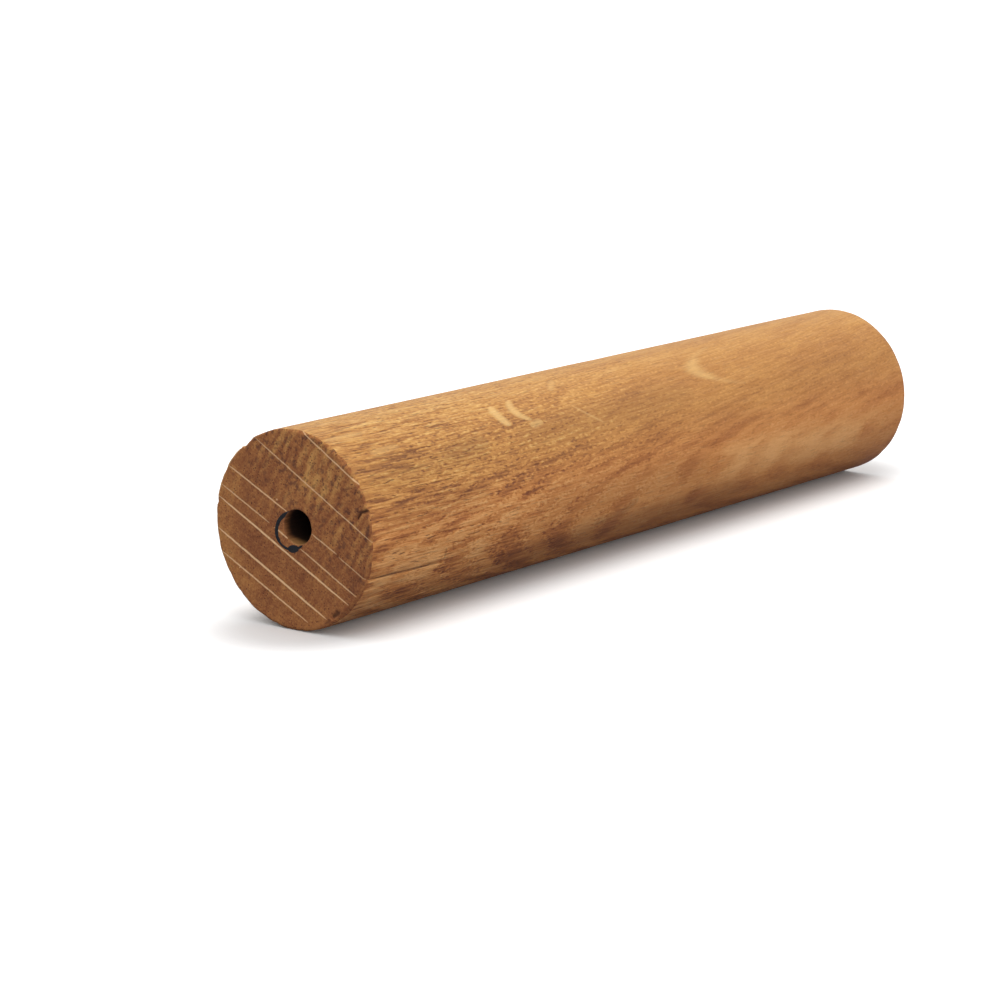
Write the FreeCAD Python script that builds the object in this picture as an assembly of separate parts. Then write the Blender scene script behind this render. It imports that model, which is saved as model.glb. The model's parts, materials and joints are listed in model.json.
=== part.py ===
"""A round oak mallet body: one straight, square-cut bar with a small blind bore in one end, and the pen
mark that was drawn on that end before the bore was drilled a little to one side of it.

Millimetres. +X runs along the bar from the bored end to the plain end, and +Z is up. The origin is on the
surface that the bar lies on, halfway along it.
"""

import math
import os

import FreeCAD
import Part

# The bar
BAR_DIAMETER = 40.0
BAR_LENGTH = 205.0
EDGE_BREAK = 0.3  # the sharp corner taken off each end's rim

# The bore: where its axis is from the bar's own axis, and the drill that made it
BORE_DIAMETER = 7.0
BORE_DEPTH = 40.0  # at full diameter, from the end face
BORE_OFFSET_Y = -1.25
BORE_OFFSET_Z = 0.75
DRILL_POINT_ANGLE = 118.0  # degrees, across the cone at the bottom

# The pen mark: a circle drawn by hand for the bore and a little out of round, heavy for most of the way,
# then light, with a blot where the pen rested. It is an oval, and angles along it are in degrees from its
# long axis, from +Y towards +Z.
MARK_OFFSET_Y = 0.2  # the oval's centre from the bar's own axis
MARK_OFFSET_Z = -0.22
MARK_OVERSIZE = 0.65  # the oval's middle diameter, at the middle of its line, over the bore's
MARK_OUT_OF_ROUND = 0.6  # what its long diameter has over the middle one, and its short one under
MARK_TILT = -30.0  # of its long axis, in degrees from +Y
INK_DEPTH = 0.05  # how far the ink soaked into the end grain
HEAVY_LINE = 0.75
HEAVY_START = 122.0
HEAVY_END = -12.0
LIGHT_LINE = 0.35
LIGHT_END = -97.0
BLOT_LENGTH = 2.55
BLOT_WIDTH = 1.6
BLOT_AT = -68.0
BLOT_INSIDE = 0.12  # the blot's centre from the middle of the line, inwards
BLOT_TILT = -14.0

AXIS_HEIGHT = BAR_DIAMETER / 2
BORED_FACE_X = -BAR_LENGTH / 2
ALONG = FreeCAD.Vector(1, 0, 0)
LINE_STEPS = 12  # spans of each edge of a pen line


def on_bored_face(y, z):
    """The point of the bored end face that lies y and z from the bar's axis."""
    return FreeCAD.Vector(BORED_FACE_X, y, AXIS_HEIGHT + z)


def bore_tool():
    """The drill: a cylinder of the full depth with its conical point beyond."""
    radius = BORE_DIAMETER / 2
    point_length = radius / math.tan(math.radians(DRILL_POINT_ANGLE / 2))
    mouth = on_bored_face(BORE_OFFSET_Y, BORE_OFFSET_Z)
    shank = Part.makeCylinder(radius, BORE_DEPTH, mouth, ALONG)
    point = Part.makeCone(radius, 0, point_length, mouth + ALONG * BORE_DEPTH, ALONG)
    return shank.fuse(point)


def plain_bar():
    """The turned bar before it was drilled and marked, with both rims eased."""
    bar = Part.makeCylinder(BAR_DIAMETER / 2, BAR_LENGTH, on_bored_face(0, 0), ALONG)
    rims = [edge for edge in bar.Edges if edge.Closed and isinstance(edge.Curve, Part.Circle)]
    return bar.makeChamfer(EDGE_BREAK, rims)


def beside_line(angle, out, on=0.0):
    """The point of the bored face beside the pen line's middle at this angle: out from it, and on along it.

    The oval's point is its two half diameters times the angle's cosine and sine, and its outward normal is
    the same with the half diameters swapped, made one long.
    """
    turn = math.radians(angle)
    middle = (BORE_DIAMETER + MARK_OVERSIZE) / 2
    along = middle + MARK_OUT_OF_ROUND / 2
    across = middle - MARK_OUT_OF_ROUND / 2
    normal = FreeCAD.Vector(0, across * math.cos(turn), along * math.sin(turn)).normalize()
    tangent = FreeCAD.Vector(0, -normal.z, normal.y)
    point = FreeCAD.Vector(0, along * math.cos(turn), across * math.sin(turn)) + normal * out + tangent * on
    tilted = FreeCAD.Rotation(ALONG, MARK_TILT).multVec(point)
    return on_bored_face(MARK_OFFSET_Y, MARK_OFFSET_Z) + tilted


def pen_line(start, end, width):
    """A stroke of the pen oval from one angle down to another, with the pen's round tip at each end."""
    half = width / 2
    angles = [start + (end - start) * step / LINE_STEPS for step in range(LINE_STEPS + 1)]
    outer, inner = Part.BSplineCurve(), Part.BSplineCurve()
    outer.interpolate([beside_line(angle, half) for angle in angles])
    inner.interpolate([beside_line(angle, -half) for angle in reversed(angles)])
    far_tip = Part.Arc(beside_line(end, half), beside_line(end, 0, -half), beside_line(end, -half))
    near_tip = Part.Arc(beside_line(start, -half), beside_line(start, 0, half), beside_line(start, half))
    wire = Part.Wire([curve.toShape() for curve in (outer, far_tip, inner, near_tip)])
    return Part.Face(wire).extrude(ALONG * INK_DEPTH)


def pen_blot():
    """The oval blot where the pen rested."""
    oval = Part.Ellipse(FreeCAD.Vector(0, 0, 0), BLOT_LENGTH / 2, BLOT_WIDTH / 2).toShape()
    oval.rotate(FreeCAD.Vector(0, 0, 0), FreeCAD.Vector(0, 0, 1), BLOT_TILT)
    # the oval is drawn flat in X and Y, and these two turns lay it in the end face's Y and Z
    oval.rotate(FreeCAD.Vector(0, 0, 0), FreeCAD.Vector(1, 0, 0), 90)
    oval.rotate(FreeCAD.Vector(0, 0, 0), FreeCAD.Vector(0, 0, 1), 90)
    oval.translate(beside_line(BLOT_AT, -BLOT_INSIDE))
    return Part.Face(Part.Wire(oval)).extrude(ALONG * INK_DEPTH)


def pen_mark():
    """The ink, as deep as it soaked in, less what the bore took away."""
    heavy = pen_line(HEAVY_START, HEAVY_END, HEAVY_LINE)
    light = pen_line(HEAVY_END, LIGHT_END, LIGHT_LINE)
    drawn = heavy.fuse([light, pen_blot()])
    return drawn.cut(bore_tool()).removeSplitter()


def mallet_body(mark):
    """The drilled bar, with the ink's own room left in its end face."""
    return plain_bar().cut(bore_tool()).cut(mark)


def main():
    os.makedirs("parts", exist_ok=True)
    mark = pen_mark()
    nodes = {"mallet_body": mallet_body(mark), "pen_mark": mark}
    for name, shape in nodes.items():
        shape.exportStep(f"parts/{name}.step")
        print(name, "solids", len(shape.Solids), "valid", shape.isValid(), "mm3", round(shape.Volume, 3))


main()
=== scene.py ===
"""The looks of a round oak mallet body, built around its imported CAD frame.

The bar is one closed numpy surface with its chipped rims, torn fibres, cracks and blind bore, and the pen
mark is a thin film that follows the sawn end. Lengths named here are in millimetres, and a mesh gets its
metres in one place, in mesh_piece.
"""

import json
import math

import bpy
import numpy as np
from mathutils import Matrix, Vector


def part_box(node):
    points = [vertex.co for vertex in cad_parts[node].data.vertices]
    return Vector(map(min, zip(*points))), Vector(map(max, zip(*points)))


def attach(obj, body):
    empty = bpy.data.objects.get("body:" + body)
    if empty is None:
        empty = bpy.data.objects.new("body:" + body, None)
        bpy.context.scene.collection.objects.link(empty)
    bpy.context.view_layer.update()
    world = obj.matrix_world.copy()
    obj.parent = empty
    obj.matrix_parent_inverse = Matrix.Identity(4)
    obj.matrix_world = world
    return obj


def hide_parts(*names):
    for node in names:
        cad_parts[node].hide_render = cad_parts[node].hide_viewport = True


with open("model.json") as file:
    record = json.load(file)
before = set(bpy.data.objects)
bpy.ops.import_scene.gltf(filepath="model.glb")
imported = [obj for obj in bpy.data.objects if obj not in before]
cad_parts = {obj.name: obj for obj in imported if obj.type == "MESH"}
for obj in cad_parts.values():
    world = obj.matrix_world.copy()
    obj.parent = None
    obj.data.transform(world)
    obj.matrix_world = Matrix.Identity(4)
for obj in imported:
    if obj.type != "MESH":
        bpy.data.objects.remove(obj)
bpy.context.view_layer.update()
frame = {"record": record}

MM = 0.001


# ---------------------------------------------------------------- sizes, from the frame

def mount(name):
    """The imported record's mount of this name."""
    return next(entry for entry in frame["record"]["mounts"] if entry["name"] == name)


BODY_LOW, BODY_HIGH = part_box("mallet_body")
RADIUS = (BODY_HIGH.z - BODY_LOW.z) / 2 / MM
AXIS_Z = (BODY_HIGH.z + BODY_LOW.z) / 2 / MM
BORED_X = BODY_LOW.x / MM
PLAIN_X = BODY_HIGH.x / MM

BORE = mount("end_bore")
BORE_RADIUS = BORE["dims"]["r_mm"]
BORE_DEPTH = BORE["dims"]["length_mm"]
BORE_Y = BORE["pos_m"][1] / MM
BORE_Z = BORE["pos_m"][2] / MM - AXIS_Z
DRILL_ANGLE = 118  # degrees, across the point of a common twist drill
DRILL_POINT = BORE_RADIUS / math.tan(math.radians(DRILL_ANGLE / 2))


# ---------------------------------------------------------------- the tree that the bar was cut from
# Places on an end face are (y, z) from the bar's axis, and turns about the axis run from +Y towards +Z.

PITH_TURN = -151.8  # degrees: the way to the tree's heart, across the bar
PITH_DISTANCE = 380.0
RING_WIDTH = 2.3
GRAIN_SLOPE = 0.128  # how much nearer the heart comes per millimetre along the bar
FIBRE_SLOPE = -0.04  # the same for the fine fibres at the bored end, and how it changes per millimetre
FIBRE_SWING = 0.0008

# The broad rays that show on each end, and small pale specks: from, to, width and how pale they are
BORED_END_RAYS = [
    ((-2.4, 19.9), (-17.2, 10.6), 0.28, 0.85),
    ((9.3, 17.2), (-19.9, 0.1), 0.26, 0.80),
    ((16.6, 11.1), (1.2, 3.4), 0.30, 0.90),
    ((-4.8, -0.1), (-11.0, -3.3), 0.27, 0.75),
    ((-11.5, -3.8), (-18.0, -7.4), 0.23, 0.60),
    ((18.3, 7.0), (6.0, 0.7), 0.28, 0.75),
    ((4.7, 0.0), (1.3, -1.8), 0.34, 0.80),
    ((-1.8, -3.4), (-15.9, -11.1), 0.28, 0.80),
    ((19.4, 4.7), (-13.9, -13.0), 0.39, 1.00),
    ((19.7, -1.8), (-8.3, -16.6), 0.43, 1.00),
    ((18.7, -6.5), (-3.6, -17.9), 0.32, 0.90),
]
END_SPECKS = [((3.8, 5.55), (4.1, 5.7), 0.30, 0.80), ((13.8, -9.4), (14.0, -9.2), 0.30, 0.70)]
PLAIN_END_RAYS = [
    ((2.6, 19.3), (-13.0, 10.9), 0.27, 0.80),
    ((13.4, 14.3), (-18.6, -2.6), 0.35, 0.95),
    ((18.3, 7.9), (4.1, 0.3), 0.28, 0.85),
    ((1.0, -1.4), (-16.8, -10.6), 0.30, 0.90),
    ((19.6, 3.0), (-1.8, -8.4), 0.26, 0.70),
    ((19.5, -3.6), (-11.0, -16.4), 0.41, 1.00),
    ((15.8, -11.5), (4.9, -17.1), 0.28, 0.80),
]


# ---------------------------------------------------------------- numpy tools

NOISE_ROWS = 64


def smooth_noise(across, along, seed, around=64):
    """Value noise from 0 to 1: seeded random heights on a unit grid, with smoothstep weights between them.

    It repeats after `around` cells across, so a pattern with that many cells closes on itself.
    """
    heights = np.random.default_rng(seed).random((around, NOISE_ROWS))
    column, row = np.floor(across).astype(int), np.floor(along).astype(int)
    right, up = across - column, along - row
    right, up = right * right * (3 - 2 * right), up * up * (3 - 2 * up)
    left_column, right_column = column % around, (column + 1) % around
    low_row, high_row = row % NOISE_ROWS, (row + 1) % NOISE_ROWS
    low = heights[left_column, low_row] * (1 - right) + heights[right_column, low_row] * right
    high = heights[left_column, high_row] * (1 - right) + heights[right_column, high_row] * right
    return low * (1 - up) + high * up


def fade(value, start, end):
    """Smoothstep of the value: 0 at start and 1 at end."""
    share = np.clip((value - start) / (end - start), 0, 1)
    return share * share * (3 - 2 * share)


def groove(first, second, start, end, width, depth):
    """The depth of a groove along a straight run: full on its line, and none at its half width.

    It is depth times one less the square of the distance from the line, as a share of the half width.
    """
    run = np.array(end, float) - np.array(start, float)
    along = ((first - start[0]) * run[0] + (second - start[1]) * run[1]) / (run @ run)
    along = np.clip(along, 0, 1)
    away = np.hypot(first - start[0] - along * run[0], second - start[1] - along * run[1])
    return depth * np.clip(1 - (away / (width / 2)) ** 2, 0, 1)


def angle_from(turn, centre):
    """The turn in degrees from a centre turn, from -180 to 180."""
    return (np.degrees(turn) - centre + 180) % 360 - 180


def stretch(turn, centre, full, gone):
    """1 within `full` degrees of a centre turn, and 0 from `gone` degrees on."""
    return fade(-np.abs(angle_from(turn, centre)), -gone, -full)


def mesh_piece(name, grid, closed_across=True, start_pole=None, end_pole=None, attributes=None):
    """A mesh object from a grid of points in millimetres, rows by columns, with its ends closed by poles.

    Each quad joins two neighbours in a row to the two in the next row. Attributes are one number per grid
    point, and a pole takes the last of them.
    """
    rows, columns = grid.shape[:2]
    index = np.arange(rows * columns).reshape(rows, columns)
    following = np.roll(index, -1, axis=1) if closed_across else index[:, 1:]
    here = index if closed_across else index[:, :-1]
    quads = np.stack([here[:-1], following[:-1], following[1:], here[1:]], axis=-1).reshape(-1, 4)
    points = [grid.reshape(-1, 3)]
    loops, sizes = [quads.ravel()], [np.full(len(quads), 4)]
    extra = rows * columns
    for pole, row, turned in ((start_pole, 0, True), (end_pole, -1, False)):
        if pole is None:
            continue
        points.append(np.array([pole], float))
        rim, next_rim = here[row], following[row]
        ends = (next_rim, rim) if turned else (rim, next_rim)
        loops.append(np.stack([ends[0], ends[1], np.full(len(rim), extra)], axis=-1).ravel())
        sizes.append(np.full(len(rim), 3))
        extra += 1
    vertices = np.concatenate(points) * MM
    corners, sizes = np.concatenate(loops), np.concatenate(sizes)
    mesh = bpy.data.meshes.new(name)
    mesh.vertices.add(len(vertices))
    mesh.vertices.foreach_set("co", vertices.astype(np.float32).ravel())
    mesh.loops.add(len(corners))
    mesh.loops.foreach_set("vertex_index", corners.astype(np.int32))
    mesh.polygons.add(len(sizes))
    mesh.polygons.foreach_set("loop_start", np.concatenate([[0], np.cumsum(sizes)[:-1]]).astype(np.int32))
    mesh.update(calc_edges=True)
    mesh.validate()
    mesh.polygons.foreach_set("use_smooth", np.ones(len(sizes), dtype=bool))
    for label, values in (attributes or {}).items():
        layer = mesh.attributes.new(label, "FLOAT", "POINT")
        at_poles = np.full(len(vertices) - values.size, values.ravel()[-1])
        layer.data.foreach_set("value", np.concatenate([values.ravel(), at_poles]).astype(np.float32))
    piece = bpy.data.objects.new(name, mesh)
    bpy.context.collection.objects.link(piece)
    return piece


# ---------------------------------------------------------------- the bar's wear

END_CRACK = [(-16.2, 4.2), (-17.1, 5.6), (-18.9, 6.3)]
END_DENT = ((-11.4, -14.8), (-9.7, -16.0))
END_PIT = ((-11.15, -3.45), (-11.4, -3.6))
RIM_CHIPS = [  # the turn, its steep and slow reach in degrees, its depth, and its reach along the bar
    (50.2, 0.9, 11.0, 0.55, 2.2),
    (48.6, 1.2, 0.8, 0.16, 1.0),
    (9.3, 1.0, 3.0, 0.34, 1.0),
]
RAY_CHECK = ((0.0, -22.0), (23.0, -24.5))  # along the bar from the bored end, and up its front in degrees
TORN_RIM = (131, 34, 52)  # the middle turn, and how far from it the wear is full and gone, in degrees
WORN_RIM = (214, 12, 26)
SAW_LINE_SPACING, SAW_SLANT = 1.4, 0.35


def end_relief(y, z, seed):
    """How far a sawn end lies inside its plane: fibre noise, slow waves, and a sine of faint saw lines."""
    relief = 0.05 * smooth_noise(y / 0.7 + 40, z / 0.7 + 40, seed)
    relief += 0.05 * smooth_noise(y / 4 + 30, z / 4 + 30, seed + 1)
    relief += 0.015 * (1 + np.sin((y * SAW_SLANT + z) * 2 * math.pi / SAW_LINE_SPACING))
    return relief


def bored_end_relief(y, z):
    """The bored end's relief: end_relief with its own crack, dent and pit."""
    relief = end_relief(y, z, 11)
    for start, end in zip(END_CRACK[:-1], END_CRACK[1:]):
        relief = np.maximum(relief, groove(y, z, start, end, 0.7, 0.5))
    relief = np.maximum(relief, groove(y, z, *END_DENT, 1.1, 0.4))
    relief = np.maximum(relief, groove(y, z, *END_PIT, 0.5, 0.25))
    return relief


def rim_ease(turn, seed):
    """How wide the bored end's rim is eased: a little all round, more where it is worn or torn."""
    arc = np.radians(angle_from(turn, 0)) * RADIUS
    ease = 0.2 + 0.12 * smooth_noise((arc / 2.0) % 62, arc * 0, seed, 62)
    torn = stretch(turn, *TORN_RIM)
    ease += torn * 0.46 * smooth_noise((arc / 0.85) % 148, arc * 0, seed + 1, 148) ** 2
    worn = stretch(turn, *WORN_RIM)
    ease += worn * (0.25 + 0.35 * smooth_noise((arc / 3.1) % 40, arc * 0, seed + 2, 40))
    return ease


def rim_chips(turn, inwards):
    """How far the bored end's rim is chipped back towards the axis, fading along the bar from the end.

    Each chip is steep on its lower side and runs out slowly on its upper side.
    """
    chipped = 0
    for centre, steep, slow, depth, reach in RIM_CHIPS:
        away = angle_from(turn, centre)
        shape = fade(away, -steep, 0) * fade(-away, -slow, 0)
        chipped = chipped + depth * shape * np.exp(-((inwards / reach) ** 2))
    return chipped


def side_relief(turn, inwards):
    """How far the side lies inside its circle: waviness, torn streaks near the bored end and the ray check.

    inwards is the distance from the bored end.
    """
    round_the_bar = (turn / (2 * math.pi)) % 1
    relief = 0.10 * smooth_noise(round_the_bar * 14, inwards / 45, 21, 14)
    relief += 0.06 * smooth_noise(round_the_bar * 60, inwards / 14, 22, 60)
    torn = 0.25 + 0.75 * np.exp(-((inwards / 38) ** 2))
    streak = smooth_noise(round_the_bar * 150, inwards / 5.5 + 3, 23, 150)
    relief += torn * 0.22 * np.clip(streak - 0.45, 0, 1)
    below_front = np.radians(angle_from(turn, 180)) * RADIUS
    start, end = ((x, -math.radians(front) * RADIUS) for x, front in RAY_CHECK)
    relief = np.maximum(relief, groove(inwards, below_front, start, end, 0.9, 0.38))
    return relief


# ---------------------------------------------------------------- the bar

COLUMNS = 320  # round the bar, and round its bore
CONE_ROWS, WALL_ROWS, BORED_END_ROWS, SIDE_ROWS, PLAIN_END_ROWS = 3, 18, 44, 212, 26
MOUTH_EASE = 0.18  # how far in the bore's wall begins, behind its slightly eased mouth
MOUTH_RADIUS = BORE_RADIUS + 0.06


def bar_grid():
    """The bar as one grid: each column is its outline at one turn, and each row one step along that outline.

    The outline runs from the drill's point up its cone and the bore's wall to the mouth, out across the
    bored end, round the eased rim, along the side, round the far rim and in to the middle of the plain end.
    On an end face a point is blended from an inner circle to the rim's circle, in even steps.
    """
    turn = np.linspace(0, 2 * math.pi, COLUMNS, endpoint=False)
    cos, sin = np.cos(turn), np.sin(turn)
    rows, end_grain = [], []

    def add(x, y, z, grain):
        rows.append(np.stack([x + 0 * turn, y + 0 * turn, z + AXIS_Z + 0 * turn], axis=-1))
        end_grain.append(grain + 0 * turn)

    for share in np.arange(1, CONE_ROWS + 1) / (CONE_ROWS + 1):
        x = BORED_X + BORE_DEPTH + DRILL_POINT * (1 - share)
        add(x, BORE_Y + BORE_RADIUS * share * cos, BORE_Z + BORE_RADIUS * share * sin, 1)
    for share in np.linspace(1, 0, WALL_ROWS) ** 1.6:
        wall = BORE_RADIUS - 0.05 * smooth_noise(turn / (2 * math.pi) * 40, share * 30 + 0 * turn, 31, 40)
        x = BORED_X + MOUTH_EASE + (BORE_DEPTH - MOUTH_EASE) * share
        add(x, BORE_Y + wall * cos, BORE_Z + wall * sin, 1)

    ease = rim_ease(turn, 41)
    rim = RADIUS - ease - rim_chips(turn, 0) - side_relief(turn, 0)
    for share in np.linspace(0, 1, BORED_END_ROWS):
        y = (1 - share) * (BORE_Y + MOUTH_RADIUS * cos) + share * rim * cos
        z = (1 - share) * (BORE_Z + MOUTH_RADIUS * sin) + share * rim * sin
        add(BORED_X + bored_end_relief(y, z), y, z, 1)
    for share in (0.35, 0.7):
        reach = ease * (0.25 + 0.75 * share)
        out = RADIUS - ease * (1 - share) - rim_chips(turn, reach) - side_relief(turn, reach)
        add(BORED_X + reach * 0.8 + 0.05, out * cos, out * sin, 1 - share)

    length = PLAIN_X - BORED_X
    far_ease = 0.22 + 0.25 * smooth_noise(turn / (2 * math.pi) * 50, 0 * turn, 51, 50) ** 2
    for share in np.linspace(0, 1, SIDE_ROWS):
        inwards = ease + (length - ease - far_ease) * (0.55 * share + 0.45 * share**2)
        out = RADIUS - rim_chips(turn, inwards) - side_relief(turn, inwards)
        add(BORED_X + inwards, out * cos, out * sin, 0)
    far_rim = RADIUS - far_ease - side_relief(turn, length)
    add(PLAIN_X - far_ease * 0.35, (far_rim + far_ease * 0.6) * cos, (far_rim + far_ease * 0.6) * sin, 0.5)
    for share in np.linspace(1, 0, PLAIN_END_ROWS, endpoint=False):
        y, z = far_rim * share * cos, far_rim * share * sin
        add(PLAIN_X - end_relief(y, z, 61), y, z, 1)
    return np.array(rows), np.array(end_grain)


def oak_bar():
    """The bar's mesh: its grid, closed at the drill's point and in the middle of the plain end."""
    grid, end_grain = bar_grid()
    tip = (BORED_X + BORE_DEPTH + DRILL_POINT, BORE_Y, BORE_Z + AXIS_Z)
    middle = (PLAIN_X, 0, AXIS_Z)
    return mesh_piece(
        "oak_bar", grid, start_pole=tip, end_pole=middle, attributes={"end_grain": end_grain}
    )


# ---------------------------------------------------------------- the pen mark

MARK_CENTRE = (0.2, -0.22)
MARK_LONG, MARK_SHORT = 4.125, 3.525  # half diameters of the pen's path
MARK_TILT = -30.0
MARK_START, MARK_END = 122.0, -106.0  # degrees along the oval, from its long half diameter
LINE_HALF, HEAVY_MORE, HEAVY_END = 0.25, 0.155, -12.0  # half widths, and where the heavy side ends
BLOT_HALF, BLOT_INWARDS, BLOT_AT, BLOT_REACH = 0.78, 0.12, -68.0, 21.0
MARK_ROWS, MARK_COLUMNS = 280, 15
INK_EDGE = BORE_RADIUS + 0.09  # how near the bore's axis the ink comes


def pen_film():
    """The ink as a thin closed film that lies on the sawn end's own relief.

    Its middle line is an oval: its two half diameters times the cosine and sine of an angle, tilted. Across,
    it reaches out by a half width that is heavy, then light, then round at the blot, and that is pinched to a
    tip at both ends. What would overhang the bore is brought back to its edge.
    """
    angle = np.linspace(MARK_START, MARK_END, MARK_ROWS)
    along = np.radians(angle)[:, None]
    half = LINE_HALF + HEAVY_MORE * fade(angle, HEAVY_END - 5, HEAVY_END + 9)
    half += 0.05 * (smooth_noise(angle / 9 + 30, angle * 0, 71) - 0.5)
    blot = np.sqrt(np.clip(1 - ((angle - BLOT_AT) / BLOT_REACH) ** 2, 0, 1))
    half = np.maximum(half, BLOT_HALF * blot)
    half *= np.sqrt(np.clip((angle - MARK_END) / 5, 0, 1))
    half = np.maximum(half, 0.01)[:, None]
    across = np.linspace(-1, 1, MARK_COLUMNS)[None, :]
    inward = BLOT_INWARDS * blot[:, None]
    normal = np.stack([MARK_SHORT * np.cos(along), MARK_LONG * np.sin(along)])
    normal = normal / np.hypot(*normal)
    reach = across * half - inward
    oval_y = MARK_LONG * np.cos(along) + normal[0] * reach
    oval_z = MARK_SHORT * np.sin(along) + normal[1] * reach
    tilt = math.radians(MARK_TILT)
    y = MARK_CENTRE[0] + oval_y * math.cos(tilt) - oval_z * math.sin(tilt)
    z = MARK_CENTRE[1] + oval_y * math.sin(tilt) + oval_z * math.cos(tilt)
    from_bore = np.hypot(y - BORE_Y, z - BORE_Z)
    push = np.maximum(from_bore, INK_EDGE + 0.02 * (from_bore - INK_EDGE)) / from_bore
    y, z = BORE_Y + (y - BORE_Y) * push, BORE_Z + (z - BORE_Z) * push
    lift = 0.02 * (1 - across**2) + 0 * y
    top = np.stack([BORED_X + bored_end_relief(y, z) - 0.006 - lift, y, z + AXIS_Z], axis=-1)
    under = np.stack([BORED_X + bored_end_relief(y, z) + 0.03, y, z + AXIS_Z], axis=-1)[:, ::-1]
    grid = np.concatenate([top, under], axis=1)
    return mesh_piece("pen_film", grid, start_pole=grid[0].mean(axis=0), end_pole=grid[-1].mean(axis=0))


# ---------------------------------------------------------------- shader tools

class Nodes:
    """Short ways to add nodes to one tree and to join them."""

    def __init__(self, tree):
        self.tree = tree

    def add(self, kind, inputs=None, **settings):
        """A node with these settings. Its inputs, by name or number, get values or are joined to sockets."""
        node = self.tree.nodes.new(kind)
        for name, value in settings.items():
            setattr(node, name, value)
        for name, value in (inputs or {}).items():
            if isinstance(value, bpy.types.NodeSocket):
                self.tree.links.new(value, node.inputs[name])
            else:
                node.inputs[name].default_value = value
        return node

    def math(self, operation, first, second=0.0, third=0.0, clamp=False):
        values = {0: first, 1: second, 2: third}
        return self.add("ShaderNodeMath", values, operation=operation, use_clamp=clamp).outputs[0]

    def times(self, first, second):
        return self.math("MULTIPLY", first, second)

    def plus(self, first, second):
        return self.math("ADD", first, second)

    def minus(self, first, second):
        return self.math("SUBTRACT", first, second)

    def parts(self, vector):
        """The three numbers of a vector."""
        return self.add("ShaderNodeSeparateXYZ", {0: vector}).outputs

    def vector(self, **parts):
        """A vector from its parts, named X, Y and Z."""
        return self.add("ShaderNodeCombineXYZ", parts).outputs[0]

    def bump(self, height, strength, depth):
        """A normal from a height whose whole range is this many millimetres deep."""
        inputs = {"Height": height, "Strength": strength, "Distance": depth * MM}
        return self.add("ShaderNodeBump", inputs).outputs[0]

    def band(self, value, low, high, new_low=0.0, new_high=1.0):
        """The value's place between low and high, eased at both ends, as new_low to new_high."""
        inputs = {"Value": value, "From Min": low, "From Max": high, "To Min": new_low, "To Max": new_high}
        node = self.add("ShaderNodeMapRange", inputs, interpolation_type="SMOOTHSTEP")
        return node.outputs["Result"]

    def place(self, vector, location=(0, 0, 0), turn=(0, 0, 0), scale=(1, 1, 1), kind="POINT"):
        inputs = {"Vector": vector, "Location": location, "Scale": scale}
        inputs["Rotation"] = tuple(math.radians(angle) for angle in turn)
        return self.add("ShaderNodeMapping", inputs, vector_type=kind).outputs[0]

    def noise(self, vector, detail=2.0, roughness=0.5, scale=1.0):
        inputs = {"Vector": vector, "Scale": scale, "Detail": detail, "Roughness": roughness}
        return self.add("ShaderNodeTexNoise", inputs).outputs["Fac"]

    def blend(self, factor, first, second, kind="MIX"):
        """Two colours blended by a factor."""
        inputs = {0: factor, 6: first, 7: second}
        return self.add("ShaderNodeMix", inputs, data_type="RGBA", blend_type=kind).outputs[2]

    def ramp(self, value, stops):
        """A colour ramp through (place, colour) stops."""
        node = self.add("ShaderNodeValToRGB", {"Fac": value})
        elements = node.color_ramp.elements
        while len(elements) < len(stops):
            elements.new(1.0)
        for element, (place, colour) in zip(elements, stops):
            element.position = place
            element.color = colour
        return node.outputs["Color"]

    def group(self, tree, inputs):
        """The outputs of one use of a node group."""
        return self.add("ShaderNodeGroup", inputs, node_tree=tree).outputs


def srgb(red, green, blue):
    """A colour given as 0 to 255 display values, made linear."""
    shares = [value / 255 for value in (red, green, blue)]
    return tuple(s / 12.92 if s <= 0.04045 else ((s + 0.055) / 1.055) ** 2.4 for s in shares) + (1.0,)


def new_group(name, inputs, outputs):
    """An empty shader node group with named float or vector inputs and outputs, and its two end nodes."""
    tree = bpy.data.node_groups.new(name, "ShaderNodeTree")
    for label, kind, value in inputs:
        socket = tree.interface.new_socket(label, in_out="INPUT", socket_type=kind)
        if value is not None:
            socket.default_value = value
    for label, kind in outputs:
        tree.interface.new_socket(label, in_out="OUTPUT", socket_type=kind)
    nodes = Nodes(tree)
    return tree, nodes, nodes.add("NodeGroupInput"), nodes.add("NodeGroupOutput")


FLOAT, VECTOR = "NodeSocketFloat", "NodeSocketVector"


def stroke_group():
    """A mask for one stroke about the origin of its own plane: X runs along it, and it may bend to +Y."""
    inputs = [
        ("Vector", VECTOR, None),
        ("Half Length", FLOAT, 5.0),
        ("Half Width", FLOAT, 0.2),
        ("Bend", FLOAT, 0.0),
        ("Edge", FLOAT, 0.1),
        ("Strength", FLOAT, 1.0),
    ]
    tree, nodes, given, out = new_group("stroke", inputs, [("Mask", FLOAT)])
    x, y, z = nodes.parts(given.outputs["Vector"])
    bow = nodes.times(nodes.times(x, x), given.outputs["Bend"])
    off = nodes.math("ABSOLUTE", nodes.minus(y, bow))
    share = nodes.math("DIVIDE", nodes.math("ABSOLUTE", x), given.outputs["Half Length"])
    taper = nodes.math("SQRT", nodes.math("SUBTRACT", 1.0, nodes.math("POWER", share, 4.0), clamp=True))
    half = nodes.times(given.outputs["Half Width"], taper)
    edge = given.outputs["Edge"]
    body = nodes.band(off, nodes.plus(half, edge), nodes.minus(half, edge))
    mask = nodes.times(body, nodes.math("LESS_THAN", share, 1.0))
    nodes.tree.links.new(nodes.times(mask, given.outputs["Strength"]), out.inputs["Mask"])
    return tree


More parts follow.
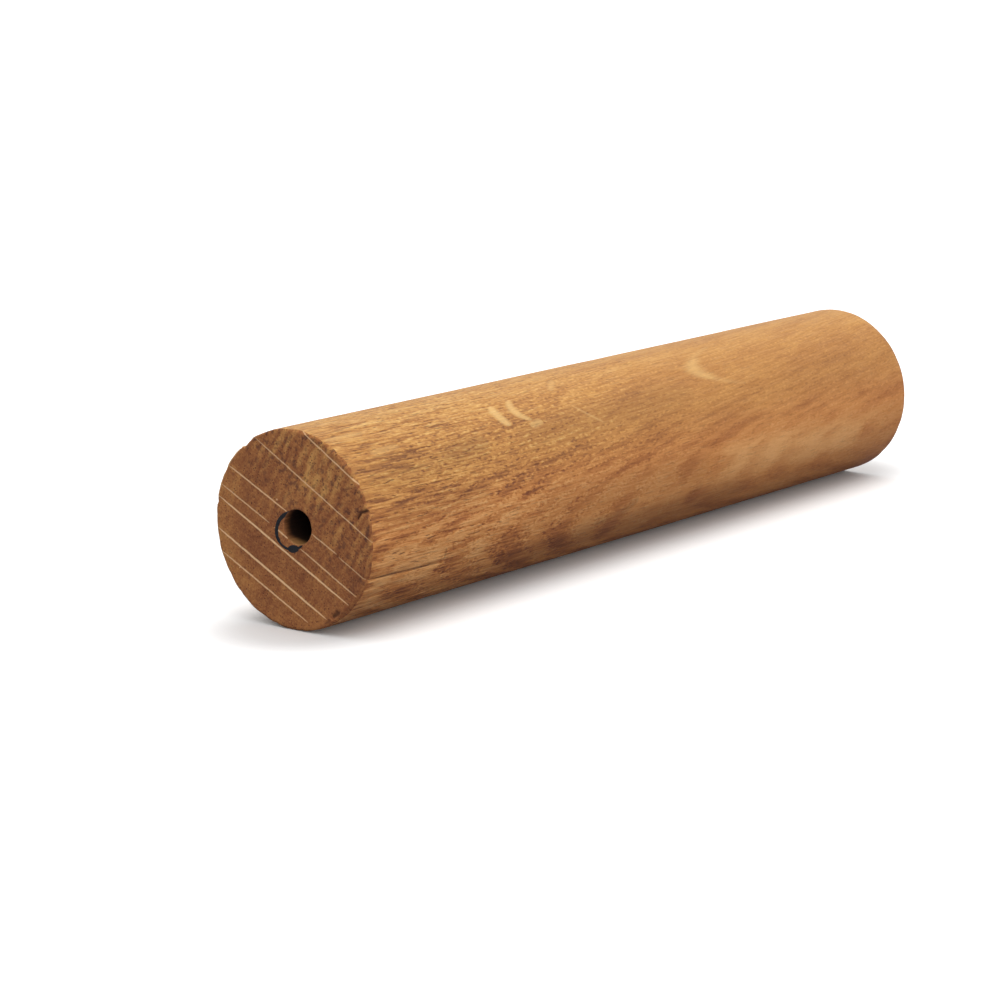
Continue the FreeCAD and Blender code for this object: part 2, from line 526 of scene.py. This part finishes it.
def oak_group():
    """The oak itself, as solid wood: what its rings, pores, fibres and rays do at each point.

    Its vector is in millimetres, along the bar and across it from its axis. Across is turned so that one
    way, towards, points at the tree's heart, and the other, beside, runs along the rings.
    """
    names = ("Ring", "Rows", "Pores", "Streaks", "Dashes", "Slits", "Mottle", "Clouds", "Flecks", "Fine Rays")
    outputs = [(name, FLOAT) for name in names]
    tree, nodes, given, out = new_group("oak_wood", [("Vector", VECTOR, None)], outputs)
    turned = nodes.place(given.outputs["Vector"], turn=(-PITH_TURN, 0, 0))
    x, towards, beside = nodes.parts(turned)

    sway = nodes.noise(nodes.place(turned, (3, 5, 7), scale=(1 / 70, 1 / 15, 1 / 15)), 1.0)
    ripple = nodes.noise(nodes.place(turned, (13, 1, 4), scale=(1 / 12, 1 / 3, 1 / 3)), 2.0, 0.6)
    ripple = nodes.math("MULTIPLY_ADD", ripple, 2.0, -1.0)
    wander = nodes.plus(nodes.times(nodes.minus(sway, 0.5), 4.5), ripple)
    depth = nodes.plus(towards, nodes.times(x, GRAIN_SLOPE))
    to_heart = nodes.minus(PITH_DISTANCE, depth)
    square = nodes.plus(nodes.times(to_heart, to_heart), nodes.times(beside, beside))
    rings_out = nodes.minus(PITH_DISTANCE, nodes.math("SQRT", square))
    grown = nodes.plus(rings_out, wander)
    from_end = nodes.minus(x, BORED_X)
    lean = nodes.math("MULTIPLY_ADD", from_end, FIBRE_SWING / 2, FIBRE_SLOPE)
    leaning = nodes.plus(towards, nodes.times(from_end, lean))
    fibres = nodes.vector(X=x, Y=leaning, Z=beside)

    def give(name, value):
        nodes.tree.links.new(value, out.inputs[name])

    def field(offset, size, detail=1.0, roughness=0.5):
        """Noise with features of this size along the fibres, across the rings and along the rings."""
        vector = nodes.place(fibres, offset, scale=tuple(1 / length for length in size))
        return nodes.noise(vector, detail, roughness)

    def wave(spacing, rise, fall):
        """From 0 at the start of each spacing of growth up to 1 by its rise, and back to 0 from its fall."""
        share = nodes.math("FRACT", nodes.math("DIVIDE", nodes.plus(grown, 200 * spacing), spacing))
        return nodes.times(nodes.band(share, 0.0, rise), nodes.band(share, 1.0, fall))

    clouds = field((5, 2, 8), (30, 5, 7), 2.0)
    uneven = nodes.band(field((9, 9, 1), (16, 3, 5)), 0.35, 0.65, 0.15, 1.0)
    ring = nodes.times(wave(RING_WIDTH, 0.3, 0.45), uneven)
    give("Ring", ring)
    give("Rows", wave(RING_WIDTH / 2, 0.5, 0.5))
    give("Clouds", clouds)
    give("Streaks", field((7, 3, 1), (9, 0.42, 0.42), 3.0, 0.6))
    give("Dashes", field((1, 9, 5), (1.1, 0.5, 0.5)))
    give("Slits", nodes.band(field((6, 2, 2), (3.2, 0.34, 0.34)), 0.64, 0.74))
    give("Mottle", field((3, 3, 9), (5, 0.8, 0.9), 2.0))
    give("Fine Rays", field((4, 4, 4), (5, 6, 0.28)))

    cells = nodes.place(fibres, scale=(1 / 7, 1 / 0.8, 1 / 0.7))
    cells = nodes.add("ShaderNodeTexVoronoi", {"Vector": cells, "Scale": 1.0, "Randomness": 0.95})
    size = nodes.add("ShaderNodeSeparateColor", {0: cells.outputs["Color"]}).outputs[0]
    open_to = nodes.math("MULTIPLY_ADD", size, 0.18, nodes.math("MULTIPLY_ADD", ring, 0.05, 0.09))
    edge = (nodes.plus(open_to, 0.07), nodes.minus(open_to, 0.07))
    give("Pores", nodes.band(cells.outputs["Distance"], *edge))

    sheet = field((2, 6, 3), (20, 30, 4.5))
    level = nodes.math("ABSOLUTE", nodes.minus(sheet, 0.5))
    rare = nodes.band(field((8, 8, 2), (12, 12, 6)), 0.60, 0.66)
    give("Flecks", nodes.times(nodes.band(level, 0.035, 0.012), rare))
    return tree


STROKE = stroke_group()
OAK = oak_group()


def stroke_mask(nodes, plane, start, end, width, strength=1.0, bend=0.0, edge=0.09):
    """One stroke from start to end on a plane whose X and Y are its two millimetre axes."""
    middle = ((start[0] + end[0]) / 2, (start[1] + end[1]) / 2, 0)
    run = (end[0] - start[0], end[1] - start[1])
    turn = math.degrees(math.atan2(run[1], run[0]))
    local = nodes.place(plane, middle, (0, 0, turn), kind="TEXTURE")
    values = {
        "Vector": local,
        "Half Length": math.hypot(*run) / 2,
        "Half Width": width / 2,
        "Bend": bend,
        "Edge": edge,
        "Strength": strength,
    }
    return nodes.group(STROKE, values)["Mask"]


def strongest(nodes, masks):
    """The largest of several masks."""
    result = masks[0]
    for mask in masks[1:]:
        result = nodes.math("MAXIMUM", result, mask)
    return result


def bar_place(nodes):
    """Object coordinates in millimetres, with the bar's axis as the first axis."""
    coordinates = nodes.add("ShaderNodeTexCoord").outputs["Object"]
    return nodes.place(coordinates, (0, 0, -AXIS_Z), scale=(1 / MM, 1 / MM, 1 / MM))


def principled(material, colour, roughness, normal, specular=0.4):
    """Ends a material with its one Principled shader."""
    nodes = Nodes(material.node_tree)
    inputs = {"Base Color": colour, "Roughness": roughness, "Normal": normal}
    shader = nodes.add("ShaderNodeBsdfPrincipled", inputs)
    shader.inputs["Specular IOR Level"].default_value = specular
    output = nodes.add("ShaderNodeOutputMaterial")
    nodes.tree.links.new(shader.outputs[0], output.inputs["Surface"])
    return shader


def new_material(name):
    """An empty node material, and the tools to fill it."""
    material = bpy.data.materials.new(name)
    material.use_nodes = True
    material.node_tree.nodes.clear()
    return material, Nodes(material.node_tree)


# ---------------------------------------------------------------- end grain

END_CRACKS = [  # dark lines on the bored end: from, to, width and how dark
    (END_CRACK[0], END_CRACK[1], 0.45, 0.85),
    (END_CRACK[1], END_CRACK[2], 0.50, 0.95),
    ((-16.2, 4.2), (-15.9, 2.9), 0.25, 0.55),
    (END_DENT[0], END_DENT[1], 0.8, 0.7),
    ((-10.9, -14.4), (-10.6, -15.6), 0.6, 0.6),
    ((-9.4, -16.6), (-8.1, -17.4), 0.5, 0.5),
    (END_PIT[0], END_PIT[1], 0.5, 0.6),
    ((12.2, -9.2), (12.9, -9.0), 0.2, 0.5),
]


def oak_end_material(name, ray_table, crack_table):
    """Sawn oak end grain: dark brown, with hazy golden bands, mottles, pores and its own broad rays."""
    material, nodes = new_material(name)
    place = bar_place(nodes)
    x, y, z = nodes.parts(place)
    plane = nodes.vector(X=y, Y=z)
    waver = nodes.add("ShaderNodeTexNoise", {"Vector": plane, "Scale": 0.45, "Detail": 2.0})
    waver = nodes.place(waver.outputs["Color"], (-0.08, -0.08, -0.08), scale=(0.16, 0.16, 0.16))
    plane = nodes.add("ShaderNodeVectorMath", {0: plane, 1: waver}, operation="ADD").outputs[0]
    wood = nodes.group(OAK, {"Vector": place})
    figured = nodes.band(nodes.minus(nodes.times(z, 0.8), nodes.times(y, 0.6)), -6, 12, 0.25, 1.0)

    tone = nodes.math("MULTIPLY_ADD", wood["Clouds"], 0.55, 0.17)
    tone = nodes.plus(tone, nodes.math("MULTIPLY_ADD", wood["Streaks"], 0.75, -0.375))
    tone = nodes.plus(tone, nodes.math("MULTIPLY_ADD", wood["Fine Rays"], 0.22, -0.11))
    tone = nodes.plus(tone, nodes.times(figured, nodes.math("MULTIPLY_ADD", wood["Ring"], 0.34, -0.03)))
    tone = nodes.plus(tone, nodes.plus(nodes.band(y, 9, 17, 0, 0.16), nodes.band(y, -4, -14, 0, -0.05)))
    tone = nodes.plus(tone, nodes.times(nodes.band(z, 3, 12), nodes.band(y, 0, -8, 0, 0.15)))
    colour = nodes.ramp(tone, [
        (0.05, srgb(102, 56, 32)),
        (0.35, srgb(147, 89, 51)),
        (0.60, srgb(177, 115, 64)),
        (0.95, srgb(210, 153, 85)),
    ])
    mottle = nodes.band(wood["Mottle"], 0.50, 0.66)
    mottle = nodes.times(mottle, nodes.times(figured, nodes.math("MULTIPLY_ADD", wood["Ring"], -0.3, 0.68)))
    colour = nodes.blend(mottle, colour, srgb(82, 52, 42))
    colour = nodes.blend(nodes.times(wood["Pores"], 0.75), colour, srgb(70, 32, 18))
    edge = nodes.add("ShaderNodeVectorMath", {0: plane}, operation="LENGTH").outputs["Value"]
    # painted highlight: a pale band along the rim on the +Y side
    painted_rim_highlight = nodes.times(nodes.band(edge, RADIUS - 0.5, RADIUS - 0.25), nodes.band(y, 6, 14, 0.0, 0.6))
    colour = nodes.blend(painted_rim_highlight, colour, srgb(236, 196, 138))
    masks = [stroke_mask(nodes, plane, a, b, width, pale) for a, b, width, pale in ray_table]
    rays = nodes.times(strongest(nodes, masks), nodes.band(wood["Streaks"], 0.3, 0.5, 0.75, 1.0))
    colour = nodes.blend(rays, colour, srgb(244, 200, 146))
    height = nodes.plus(nodes.times(wood["Pores"], -0.9), nodes.times(wood["Streaks"], 0.7))
    if crack_table:
        masks = [stroke_mask(nodes, plane, a, b, width, dark, edge=0.3) for a, b, width, dark in crack_table]
        cracks = strongest(nodes, masks)
        colour = nodes.blend(cracks, colour, srgb(48, 26, 18))
        height = nodes.minus(height, cracks)
    roughness = nodes.band(wood["Streaks"], 0.3, 0.7, 0.82, 0.66)
    principled(material, colour, roughness, nodes.bump(height, 0.5, 0.12), 0.25)
    return material


# ---------------------------------------------------------------- the side
# A stroke's ends are along the bar from the bored end and up its front in degrees. Then come its width, how
# far it bends per squared millimetre, how strong it is, and how soft. Pale flecks and dark shades are blended
# in, and lifts make the tone lighter.

SIDE_FLECKS = [
    ((51.3, 64.5), (51.5, 46.5), 2.5, 0.08, 0.70, 0.8),
    ((56.9, 66.0), (57.4, 46.5), 2.3, 0.20, 0.65, 0.8),
    ((58.2, 43.3), (62.8, 45.0), 1.5, 0.00, 0.45, 0.5),
    ((75.0, 50.0), (81.5, 34.0), 0.6, 0.02, 0.35, 0.3),
    ((74.0, 66.0), (79.5, 77.0), 1.4, 0.00, 0.30, 0.6),
    ((124.6, 66.0), (124.6, 45.0), 5.0, 0.32, 0.46, 2.6),
    ((124.4, 75.0), (124.4, 37.0), 4.0, 0.32, 0.24, 2.6),
    ((1.0, 67.5), (13.0, 67.0), 0.9, 0.00, 0.40, 0.6),
    ((8.5, 50.5), (17.5, 51.5), 1.2, 0.00, 0.30, 0.6),
]
SIDE_LIFTS = [
    ((12.0, -14.5), (23.6, -16.0), 2.6, 0.00, 0.12, 0.8),
    ((2.0, -25.0), (37.0, -23.0), 6.5, 0.00, 0.13, 3.2),
    ((122.0, -9.0), (186.0, -17.0), 7.5, 0.00, 0.25, 3.5),
]
SIDE_SHADES = [
    (*RAY_CHECK, 0.4, 0.00, 0.80, 0.2),
    ((23.9, -15.0), (24.1, -21.5), 0.5, 0.00, 0.50, 0.3),
    ((27.0, 37.0), (43.0, 41.0), 4.2, 0.00, 0.26, 2.0),
    ((3.0, 34.0), (40.0, 36.0), 5.0, 0.00, 0.12, 2.5),
    ((4.0, 10.0), (38.0, 11.0), 5.0, 0.00, 0.16, 2.5),
    ((52.0, 38.0), (118.0, 42.0), 7.0, 0.00, 0.16, 3.0),
    ((54.0, -3.0), (118.0, -10.0), 7.0, 0.00, 0.14, 3.0),
    ((8.0, 47.5), (17.0, 46.5), 0.3, 0.00, 0.55, 0.2),
    ((12.0, 34.0), (24.0, 36.0), 0.5, 0.00, 0.45, 0.3),
    ((77.0, -33.0), (92.0, -24.0), 3.0, 0.03, 0.35, 1.5),
    ((108.0, -33.0), (118.0, -26.0), 3.0, 0.03, 0.25, 1.5),
    ((44.0, -39.0), (140.0, -37.0), 7.0, 0.00, 0.30, 3.0),
]


def side_strokes(nodes, plane, table):
    """The strongest of a table of strokes on the unrolled side."""
    arc = math.radians(1) * RADIUS
    masks = []
    for (start_x, start_turn), (end_x, end_turn), width, bend, strength, edge in table:
        start, end = (start_x, start_turn * arc), (end_x, end_turn * arc)
        masks.append(stroke_mask(nodes, plane, start, end, width, strength, bend, edge))
    return strongest(nodes, masks)


def side_material():
    """The bar's round side: golden oak, torn into streaks near the bored end, dashed and arched beyond, with
    painted shading by its turn round the bar and a painted warm tint on its lower part.
    """
    material, nodes = new_material("oak_side")
    place = bar_place(nodes)
    x, y, z = nodes.parts(place)
    front = nodes.math("ARCTAN2", z, nodes.times(y, -1.0))
    from_end = nodes.minus(x, BORED_X)
    plane = nodes.vector(X=from_end, Y=nodes.times(front, RADIUS))
    wood = nodes.group(OAK, {"Vector": place})
    behind = nodes.band(y, -4.0, 6.0)
    flecks = nodes.times(wood["Flecks"], nodes.times(behind, 0.5))
    flecks = nodes.math("MAXIMUM", side_strokes(nodes, plane, SIDE_FLECKS), flecks)

    torn = nodes.band(from_end, 15, 75, 1.0, 0.45)
    dashed = nodes.times(nodes.band(from_end, 0, 28, 0.5, 1.0), nodes.band(from_end, 50, 130, 1.0, 0.35))
    crisp = nodes.band(from_end, 30, 180, 1.0, 0.45)
    streaks = nodes.times(nodes.minus(wood["Streaks"], 0.5), nodes.times(torn, crisp))
    rows = nodes.math("MULTIPLY_ADD", wood["Rows"], 0.8, 0.2)
    dashes = nodes.times(nodes.minus(wood["Dashes"], 0.45), nodes.times(rows, dashed))
    blotches = nodes.times(nodes.minus(wood["Mottle"], 0.5), nodes.times(torn, crisp))
    facing = nodes.math("COSINE", nodes.plus(front, math.radians(180 + PITH_TURN)))
    arches = nodes.times(nodes.band(facing, 0.45, 0.95, 0.07, 0.40), crisp)
    tone = nodes.math("MULTIPLY_ADD", wood["Clouds"], 0.44, 0.32)
    # painted shading by the turn round the bar: darker high on the front, lighter about its middle, darker
    # low down, less so near the bored end
    upper = nodes.band(front, math.radians(72), math.radians(48), 0, -0.15)
    middle = nodes.band(front, math.radians(26), math.radians(-8), 0, 0.31)
    lower = nodes.band(front, math.radians(-22), math.radians(-38), 0, -0.16)
    lower = nodes.times(lower, nodes.band(from_end, 20, 55, 0.2, 1.0))
    tone = nodes.plus(tone, nodes.plus(nodes.plus(upper, middle), lower))
    tone = nodes.plus(tone, nodes.times(streaks, 1.45))
    tone = nodes.plus(tone, nodes.times(blotches, 0.75))
    tone = nodes.plus(tone, side_strokes(nodes, plane, SIDE_LIFTS))
    tone = nodes.plus(tone, nodes.times(dashes, 1.6))
    tone = nodes.minus(tone, nodes.times(wood["Ring"], arches))
    colour = nodes.ramp(tone, [
        (0.02, srgb(130, 80, 40)),
        (0.35, srgb(186, 125, 61)),
        (0.60, srgb(212, 153, 79)),
        (0.98, srgb(236, 188, 111)),
    ])
    slits = nodes.times(wood["Slits"], nodes.times(nodes.times(torn, crisp), 0.7))
    pores = nodes.times(wood["Pores"], nodes.times(crisp, 0.3))
    # painted shade tint: from the axis down, fading out by 11.5 mm above it and strongest on the front, the
    # colour is made warmer
    painted_warm_shade = nodes.times(nodes.band(z, 11.5, 0), nodes.band(y, 4.0, -6.0, 0.6, 1.0))
    colour = nodes.blend(painted_warm_shade, colour, (1.0, 0.83, 0.88, 1.0), "MULTIPLY")
    colour = nodes.blend(nodes.math("MAXIMUM", slits, pores), colour, srgb(112, 66, 34))
    colour = nodes.blend(flecks, colour, srgb(242, 198, 126))
    shades = side_strokes(nodes, plane, SIDE_SHADES)
    shades = nodes.times(shades, nodes.band(wood["Dashes"], 0.35, 0.6, 0.6, 1.0))
    colour = nodes.blend(shades, colour, srgb(70, 42, 24))
    rim = nodes.add("ShaderNodeAttribute", attribute_name="end_grain").outputs["Fac"]
    colour = nodes.blend(nodes.times(rim, 0.8), colour, srgb(110, 66, 38))
    height = nodes.plus(nodes.times(wood["Slits"], -0.7), nodes.times(wood["Streaks"], 1.6))
    height = nodes.plus(nodes.times(height, torn), nodes.times(dashes, 1.4))
    bump = nodes.bump(nodes.times(height, crisp), 0.7, 0.2)
    roughness = nodes.band(wood["Streaks"], 0.3, 0.7, 0.62, 0.48)
    principled(material, colour, roughness, bump, 0.35)
    return material


def bore_material():
    """The drilled wall: brown near its mouth, with painted light on its bottom further in, and then painted
    shade deeper in, nearly black.
    """
    material, nodes = new_material("oak_bore")
    place = bar_place(nodes)
    wood = nodes.group(OAK, {"Vector": place})
    x, y, z = nodes.parts(place)
    # painted light on the bottom of the wall: it is made paler there, and the painted shade starts further in
    low = nodes.band(z, BORE_Z - 2.0, BORE_Z - 3.4)
    deep = nodes.band(nodes.plus(x, nodes.times(low, -1.7)), BORED_X, BORED_X + 2.3)
    colour = nodes.ramp(wood["Streaks"], [(0.3, srgb(96, 58, 32)), (0.7, srgb(150, 96, 56))])
    colour = nodes.blend(nodes.times(low, 0.5), colour, srgb(196, 146, 88))
    # painted shade: the wall goes nearly black deeper in the bore
    colour = nodes.blend(nodes.times(deep, 0.95), colour, srgb(24, 13, 8))
    roughness = nodes.band(wood["Streaks"], 0.3, 0.7, 0.8, 0.6)
    principled(material, colour, roughness, nodes.bump(wood["Streaks"], 0.5, 0.1), 0.25)
    return material


def ink_material():
    """Blue-black ink that the end grain drank: the wood's pores and rays just show through it."""
    material, nodes = new_material("pen_ink")
    place = bar_place(nodes)
    wood = nodes.group(OAK, {"Vector": place})
    tone = nodes.math("MULTIPLY_ADD", wood["Streaks"], 0.7, 0.15)
    colour = nodes.ramp(tone, [
        (0.25, srgb(23, 24, 26)),
        (0.60, srgb(35, 36, 37)),
        (0.90, srgb(53, 50, 47)),
    ])
    colour = nodes.blend(nodes.times(wood["Pores"], 0.6), colour, srgb(14, 15, 18))
    roughness = nodes.band(wood["Streaks"], 0.2, 0.8, 0.7, 0.5)
    principled(material, colour, roughness, nodes.bump(wood["Streaks"], 0.5, 0.1), 0.3)
    return material


def finish_bar(bar):
    """Gives the bar's faces their materials by where they lie: side, bored end, plain end or bore.

    A face is part of an end when it lies near it and faces that way by more than about 20 degrees.
    """
    mesh = bar.data
    slots = (
        side_material(),
        oak_end_material("oak_bored_end", BORED_END_RAYS + END_SPECKS, END_CRACKS),
        oak_end_material("oak_plain_end", PLAIN_END_RAYS, []),
        bore_material(),
    )
    for material in slots:
        mesh.materials.append(material)
    count = len(mesh.polygons)
    centres, normals = np.empty(count * 3), np.empty(count * 3)
    mesh.polygons.foreach_get("center", centres)
    mesh.polygons.foreach_get("normal", normals)
    x, y, z = (centres.reshape(-1, 3) / MM).T
    facing = normals.reshape(-1, 3)[:, 0]
    from_bore = np.hypot(y - BORE_Y, z - AXIS_Z - BORE_Z)
    inside = (from_bore < BORE_RADIUS + 0.03) & (x < BORED_X + BORE_DEPTH + DRILL_POINT + 1)
    index = np.zeros(count, dtype=np.int32)
    index[(facing < -0.35) & (x < BORED_X + 3)] = 1
    index[(facing > 0.35) & (x > PLAIN_X - 3)] = 2
    index[inside] = 3
    mesh.polygons.foreach_set("material_index", index)


# ---------------------------------------------------------------- floor, light and camera

FLOOR_REACH = 30000.0
GLOW_START, GLOW_END = 8.0, 26.0  # millimetres from the bar


def floor():
    """A pale floor: a flat grid, wide enough to fill the view.

    It sends less light back than it shows, and away from the bar a painted glow washes out the bar's shadow
    to plain white.
    """
    span = np.linspace(-FLOOR_REACH, FLOOR_REACH, 25)
    along, across = np.meshgrid(span, span, indexing="ij")
    grid = np.stack([across, along, np.full_like(across, BODY_LOW.z / MM)], axis=-1)
    piece = mesh_piece("floor", grid, closed_across=False)
    material, nodes = new_material("pale_floor")
    place = nodes.add("ShaderNodeTexCoord").outputs["Object"]
    speckle = nodes.noise(place, 3.0, 0.6, 40.0)
    seen = nodes.add("ShaderNodeLightPath").outputs["Is Camera Ray"]
    colour = nodes.blend(seen, (0.11, 0.135, 0.25, 1), (0.9, 0.9, 0.9, 1))
    roughness = nodes.band(speckle, 0.3, 0.7, 0.75, 0.7)
    shader = principled(material, colour, roughness, nodes.bump(speckle, 0.05, 0.1), 0.1)
    x, y, z = nodes.parts(place)
    past_end = nodes.math("MAXIMUM", nodes.minus(nodes.math("ABSOLUTE", x), BODY_HIGH.x), 0.0)
    from_bar = nodes.math("SQRT", nodes.plus(nodes.times(past_end, past_end), nodes.times(y, y)))
    # painted glow, seen only by the camera: emission that fades in between GLOW_START and GLOW_END from the
    # bar
    glow = nodes.times(nodes.band(from_bar, GLOW_START * MM, GLOW_END * MM), seen)
    glow = nodes.blend(glow, (0, 0, 0, 1), (0.45, 0.45, 0.45, 1))
    material.node_tree.links.new(glow, shader.inputs["Emission Color"])
    shader.inputs["Emission Strength"].default_value = 1.0
    piece.data.materials.append(material)
    return piece


def studio():
    """A pale surround that is brighter overhead, and one soft light from the right of the bored end."""
    world = bpy.data.worlds.new("surround")
    world.use_nodes = True
    nodes = Nodes(world.node_tree)
    upwards = nodes.parts(nodes.add("ShaderNodeTexCoord").outputs["Generated"])["Z"]
    colour = nodes.ramp(upwards, [
        (0.00, (0.60, 0.60, 0.60, 1)),
        (0.35, (0.52, 0.52, 0.52, 1)),
        (0.70, (0.70, 0.70, 0.70, 1)),
        (1.00, (1.00, 1.00, 1.00, 1)),
    ])
    seen = nodes.add("ShaderNodeLightPath").outputs["Is Camera Ray"]
    colour = nodes.blend(seen, colour, (1, 1, 1, 1))
    background = world.node_tree.nodes["Background"]
    world.node_tree.links.new(colour, background.inputs["Color"])
    background.inputs["Strength"].default_value = 1.4
    bpy.context.scene.world = world
    sun = bpy.data.lights.new("soft_light", "SUN")
    sun.energy = 1.1
    sun.angle = math.radians(50)
    lamp = bpy.data.objects.new("soft_light", sun)
    lamp.rotation_mode = "QUATERNION"
    lamp.rotation_quaternion = Vector((0.35, 0.9, -0.1)).to_track_quat("-Z", "Y")
    bpy.context.collection.objects.link(lamp)
    view = bpy.context.scene.view_settings
    view.view_transform = "Standard"
    view.look = "None"


CAMERA_OFFSET = Vector((-534.3, -373.9, 124.0)) * MM  # from the middle of the bar
CAMERA_HEADING = math.radians(36.85)  # from +X towards +Y
CAMERA_PITCH = math.radians(-11.70)
LENS, SENSOR = 108.23, 36.0


def camera():
    """A long lens close to the bored end, level from side to side."""
    lens = bpy.data.cameras.new("camera")
    lens.sensor_width = SENSOR
    lens.lens = LENS
    lens.clip_start = 0.01
    lens.clip_end = 50.0
    eye = bpy.data.objects.new("camera", lens)
    eye.location = Vector((0, 0, AXIS_Z * MM)) + CAMERA_OFFSET
    level = math.cos(CAMERA_PITCH)
    across = (level * math.cos(CAMERA_HEADING), level * math.sin(CAMERA_HEADING))
    ahead = Vector((*across, math.sin(CAMERA_PITCH)))
    eye.rotation_mode = "QUATERNION"
    eye.rotation_quaternion = ahead.to_track_quat("-Z", "Y")
    bpy.context.collection.objects.link(eye)
    bpy.context.scene.camera = eye


# ---------------------------------------------------------------- the scene

def main():
    camera()
    studio()
    floor()
    bar = oak_bar()
    finish_bar(bar)
    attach(bar, "root")
    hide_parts("mallet_body")
    ink = pen_film()
    ink.data.materials.append(ink_material())
    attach(ink, "root")
    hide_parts("pen_mark")


main()
